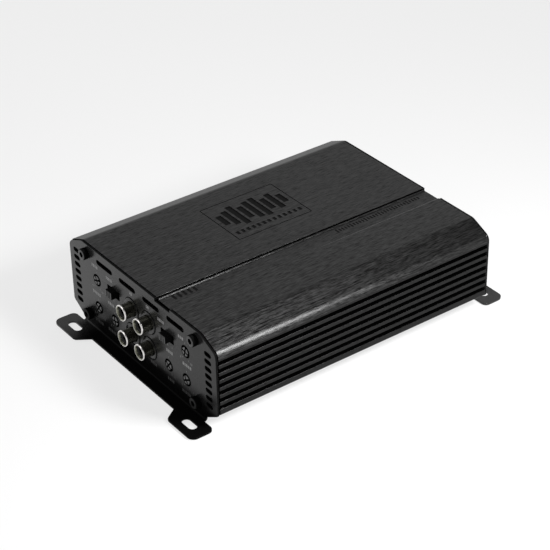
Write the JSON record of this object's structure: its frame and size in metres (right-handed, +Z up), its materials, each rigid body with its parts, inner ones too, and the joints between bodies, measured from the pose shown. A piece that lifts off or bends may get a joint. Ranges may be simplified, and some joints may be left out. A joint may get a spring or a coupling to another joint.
{
  "type": "car amplifier",
  "caption": "Compact car audio amplifier: finned black aluminium case with slotted mounting ears, RCA inputs and trim controls in front, power and speaker terminals behind.",
  "frame": {"origin": "on the mounting plane under the ears, on the case centre line, midway between the two end panels", "axes": "+Z up, away from the mounting surface; -Y towards the signal panel with the RCA jacks; +Y towards the power panel"},
  "size_m": [0.12, 0.183, 0.0459],
  "materials": {
    "black_anodised": "black anodised, brushed along its length",
    "bare_aluminium": "mill finish sheet",
    "panel_paint": "satin dark grey coating with faint horizontal grain",
    "screw_black": "black oxide",
    "knob_grey": "satin grey",
    "black_plastic": "satin",
    "lever_black": "satin",
    "switch_metal": "stamped",
    "nickel": "bright nickel plate",
    "clear_film": "milky film",
    "board_green": "solder resist",
    "terminal_black": "semi gloss",
    "fuse_yellow": "translucent yellow",
    "plug_grey": "satin dark grey",
    "light_lens": "blue lens",
    "ferrite": "dull grey",
    "copper": "enamelled copper",
    "sleeve_black": "heat-shrunk sleeve",
    "epoxy_black": "moulded epoxy"
  },
  "bodies": {
    "case": {"board_header": "black_plastic", "bottom_cover": "bare_aluminium", "front_panel": "panel_paint", "front_screw_lower_left": "screw_black", "front_screw_lower_right": "screw_black", "front_screw_upper_left": "screw_black", "front_screw_upper_right": "screw_black", "fuse_holder": "black_plastic", "heatsink_housing": "black_anodised", "insulator_sheet": "clear_film", "jack_block": "black_plastic", "jack_core_lower_left": "black_plastic", "jack_core_lower_right": "black_plastic", "jack_core_upper_left": "black_plastic", "jack_core_upper_right": "black_plastic", "jack_shell_lower_left": "nickel", "jack_shell_lower_right": "nickel", "jack_shell_upper_left": "nickel", "jack_shell_upper_right": "nickel", "left_bass_pot": "black_plastic", "left_capacitor": "sleeve_black", "left_filter_pot": "black_plastic", "left_front_transistor": "epoxy_black", "left_level_pot": "black_plastic", "left_rear_transistor": "epoxy_black", "left_switch_body": "switch_metal", "main_board": "board_green", "output_inductor": "ferrite", "power_terminal_block": "terminal_black", "preamp_board": "board_green", "rear_panel": "panel_paint", "rear_screw_lower_left": "screw_black", "rear_screw_lower_right": "screw_black", "rear_screw_upper_left": "screw_black", "rear_screw_upper_right": "screw_black", "right_bass_pot": "black_plastic", "right_capacitor": "sleeve_black", "right_filter_pot": "black_plastic", "right_front_transistor": "epoxy_black", "right_level_pot": "black_plastic", "right_rear_transistor": "epoxy_black", "right_switch_body": "switch_metal", "speaker_socket": "black_plastic", "status_light": "light_lens", "transformer_core": "ferrite", "transformer_winding": "copper"},
    "left_filter_knob": {"left_filter_knob": "knob_grey"},
    "left_level_knob": {"left_level_knob": "knob_grey"},
    "left_bass_knob": {"left_bass_knob": "knob_grey"},
    "right_filter_knob": {"right_filter_knob": "knob_grey"},
    "right_level_knob": {"right_level_knob": "knob_grey"},
    "right_bass_knob": {"right_bass_knob": "knob_grey"},
    "left_switch_lever": {"left_switch_lever": "lever_black"},
    "right_switch_lever": {"right_switch_lever": "lever_black"},
    "lower_fuse": {"lower_fuse": "fuse_yellow"},
    "upper_fuse": {"upper_fuse": "fuse_yellow"},
    "speaker_plug": {"speaker_plug": "plug_grey"},
    "ground_clamp_screw": {"ground_clamp_screw": "nickel"},
    "remote_clamp_screw": {"remote_clamp_screw": "nickel"},
    "battery_clamp_screw": {"battery_clamp_screw": "nickel"}
  },
  "joints": [
    {"name": "left_filter_turn", "type": "hinge", "parent": "case", "child": "left_filter_knob", "pos_m": [-0.0363, -0.0783, 0.0298], "axis": [0, -1, 0], "range_deg": [-150, 150]},
    {"name": "left_level_turn", "type": "hinge", "parent": "case", "child": "left_level_knob", "pos_m": [-0.0363, -0.0783, 0.0146], "axis": [0, -1, 0], "range_deg": [-150, 150]},
    {"name": "left_bass_turn", "type": "hinge", "parent": "case", "child": "left_bass_knob", "pos_m": [-0.0222, -0.0783, 0.0146], "axis": [0, -1, 0], "range_deg": [-150, 150]},
    {"name": "right_filter_turn", "type": "hinge", "parent": "case", "child": "right_filter_knob", "pos_m": [0.0363, -0.0783, 0.0298], "axis": [0, -1, 0], "range_deg": [-150, 150]},
    {"name": "right_level_turn", "type": "hinge", "parent": "case", "child": "right_level_knob", "pos_m": [0.0363, -0.0783, 0.0146], "axis": [0, -1, 0], "range_deg": [-150, 150]},
    {"name": "right_bass_turn", "type": "hinge", "parent": "case", "child": "right_bass_knob", "pos_m": [0.0222, -0.0783, 0.0146], "axis": [0, -1, 0], "range_deg": [-150, 150]},
    {"name": "left_switch_slide", "type": "slide", "parent": "case", "child": "left_switch_lever", "axis": [1, 0, 0], "range_m": [-0.0022, 0.0022]},
    {"name": "right_switch_slide", "type": "slide", "parent": "case", "child": "right_switch_lever", "axis": [1, 0, 0], "range_m": [-0.0022, 0.0022]},
    {"name": "lower_fuse_pull", "type": "slide", "parent": "case", "child": "lower_fuse", "axis": [0, 1, 0], "range_m": [0, 0.016]},
    {"name": "upper_fuse_pull", "type": "slide", "parent": "case", "child": "upper_fuse", "axis": [0, 1, 0], "range_m": [0, 0.016]},
    {"name": "speaker_plug_pull", "type": "slide", "parent": "case", "child": "speaker_plug", "axis": [0, 1, 0], "range_m": [0, 0.012]},
    {"name": "ground_clamp_turn", "type": "hinge", "parent": "case", "child": "ground_clamp_screw", "pos_m": [0.0104, 0.0814, 0.0183], "axis": [0, 0, 1], "continuous": true},
    {"name": "remote_clamp_turn", "type": "hinge", "parent": "case", "child": "remote_clamp_screw", "pos_m": [0.022, 0.0814, 0.0183], "axis": [0, 0, 1], "continuous": true},
    {"name": "battery_clamp_turn", "type": "hinge", "parent": "case", "child": "battery_clamp_screw", "pos_m": [0.0336, 0.0814, 0.0183], "axis": [0, 0, 1], "continuous": true}
  ]
}
